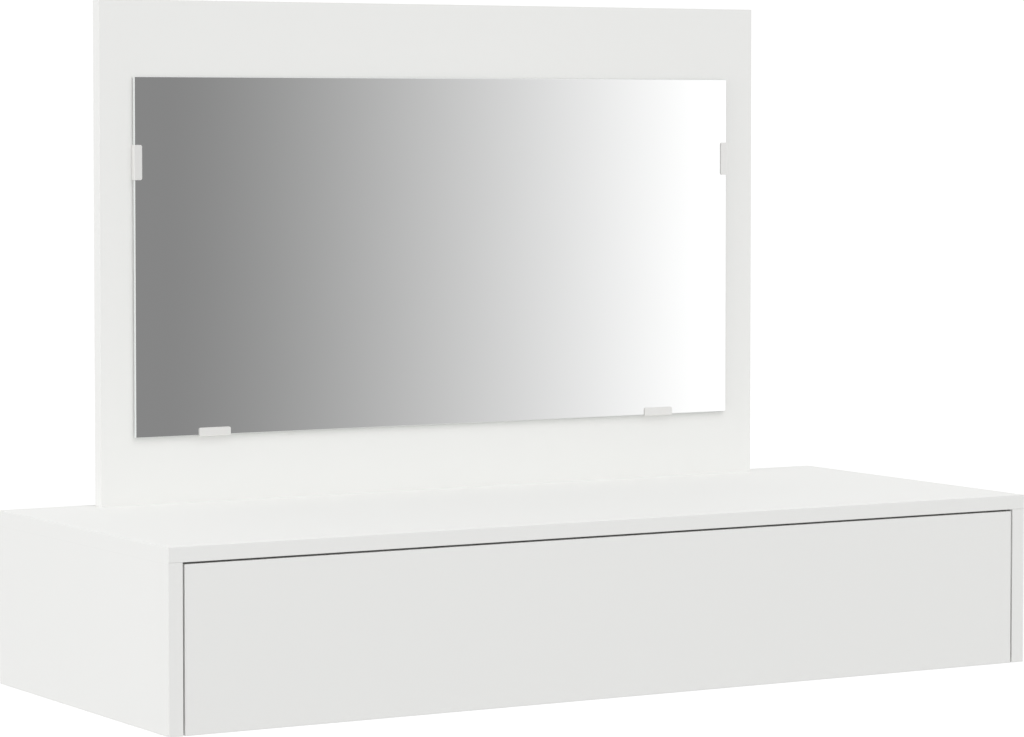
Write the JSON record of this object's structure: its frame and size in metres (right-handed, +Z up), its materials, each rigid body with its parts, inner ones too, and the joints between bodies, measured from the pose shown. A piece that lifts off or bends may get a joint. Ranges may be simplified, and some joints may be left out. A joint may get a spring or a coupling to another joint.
{
  "type": "wall-hung dressing table",
  "caption": "Wall-hung dressing table: a shallow white cabinet with a full-width drawer on roller runners, and an upright board on its top that holds a frameless mirror in steel clips.",
  "frame": {"origin": "centre of the four wall-fixing holes, on the plane of the wall", "axes": "+X to the right seen from the front, +Y into the wall, +Z up; the drawer front faces -Y"},
  "size_m": [1, 0.4, 0.698],
  "materials": {
    "white_board": "satin white melamine on particleboard, with banded edges",
    "white_hardboard": "white lacquered hardboard",
    "beech_dowel": "plain beech",
    "mirror_glass": "silvered glass with ground edges",
    "clip_steel": "bright nickel-plated sheet steel",
    "zinc_steel": "zinc plated",
    "runner_steel": "white powder coat",
    "white_nylon": "moulded nylon"
  },
  "bodies": {
    "cabinet": {"top_panel": "white_board", "left_side_panel": "white_board", "right_side_panel": "white_board", "back_panel": "white_board", "cabinet_dowels": "beech_dowel", "cabinet_cam_bolts": "zinc_steel", "cabinet_cam_locks": "zinc_steel", "mirror_board": "white_board", "mirror_board_dowels": "beech_dowel", "mirror_board_cam_bolts": "zinc_steel", "mirror_board_cam_locks": "zinc_steel", "mirror_glass": "mirror_glass", "left_mirror_clip": "clip_steel", "right_mirror_clip": "clip_steel", "lower_left_mirror_clip": "clip_steel", "lower_right_mirror_clip": "clip_steel", "mirror_clip_screws": "zinc_steel", "left_cabinet_runner": "runner_steel", "right_cabinet_runner": "runner_steel", "cabinet_runner_screws": "zinc_steel", "cabinet_roller_rivets": "zinc_steel"},
    "drawer": {"drawer_front": "white_board", "drawer_left_side": "white_board", "drawer_right_side": "white_board", "drawer_back": "white_board", "drawer_bottom": "white_hardboard", "drawer_batten": "white_board", "drawer_dowels": "beech_dowel", "drawer_cam_bolts": "zinc_steel", "drawer_cam_locks": "zinc_steel", "drawer_back_screws": "zinc_steel", "drawer_bottom_screws": "zinc_steel", "left_drawer_runner": "runner_steel", "right_drawer_runner": "runner_steel", "drawer_runner_screws": "zinc_steel", "drawer_roller_rivets": "zinc_steel"},
    "left_cabinet_roller": {"left_cabinet_roller": "white_nylon"},
    "right_cabinet_roller": {"right_cabinet_roller": "white_nylon"},
    "left_drawer_roller": {"left_drawer_roller": "white_nylon"},
    "right_drawer_roller": {"right_drawer_roller": "white_nylon"}
  },
  "joints": [
    {"name": "drawer_slide", "type": "slide", "parent": "cabinet", "child": "drawer", "axis": [0, -1, 0], "range_m": [0, 0.26]},
    {"name": "left_cabinet_roller_turn", "type": "hinge", "parent": "cabinet", "child": "left_cabinet_roller", "pos_m": [-0.47845, -0.37, -0.0506], "axis": [1, 0, 0], "range_deg": [0, 1490]},
    {"name": "right_cabinet_roller_turn", "type": "hinge", "parent": "cabinet", "child": "right_cabinet_roller", "pos_m": [0.47845, -0.37, -0.0506], "axis": [1, 0, 0], "range_deg": [0, 1490]},
    {"name": "left_drawer_roller_turn", "type": "hinge", "parent": "drawer", "child": "left_drawer_roller", "pos_m": [-0.47905, -0.046, -0.0522], "axis": [1, 0, 0], "range_deg": [0, 1490]},
    {"name": "right_drawer_roller_turn", "type": "hinge", "parent": "drawer", "child": "right_drawer_roller", "pos_m": [0.47905, -0.046, -0.0522], "axis": [1, 0, 0], "range_deg": [0, 1490]}
  ],
  "couplings": [
    {"joint": "left_cabinet_roller_turn", "follows": "drawer_slide", "rad_per_m": 100},
    {"joint": "right_cabinet_roller_turn", "follows": "drawer_slide", "rad_per_m": 100},
    {"joint": "left_drawer_roller_turn", "follows": "drawer_slide", "rad_per_m": 100},
    {"joint": "right_drawer_roller_turn", "follows": "drawer_slide", "rad_per_m": 100}
  ]
}
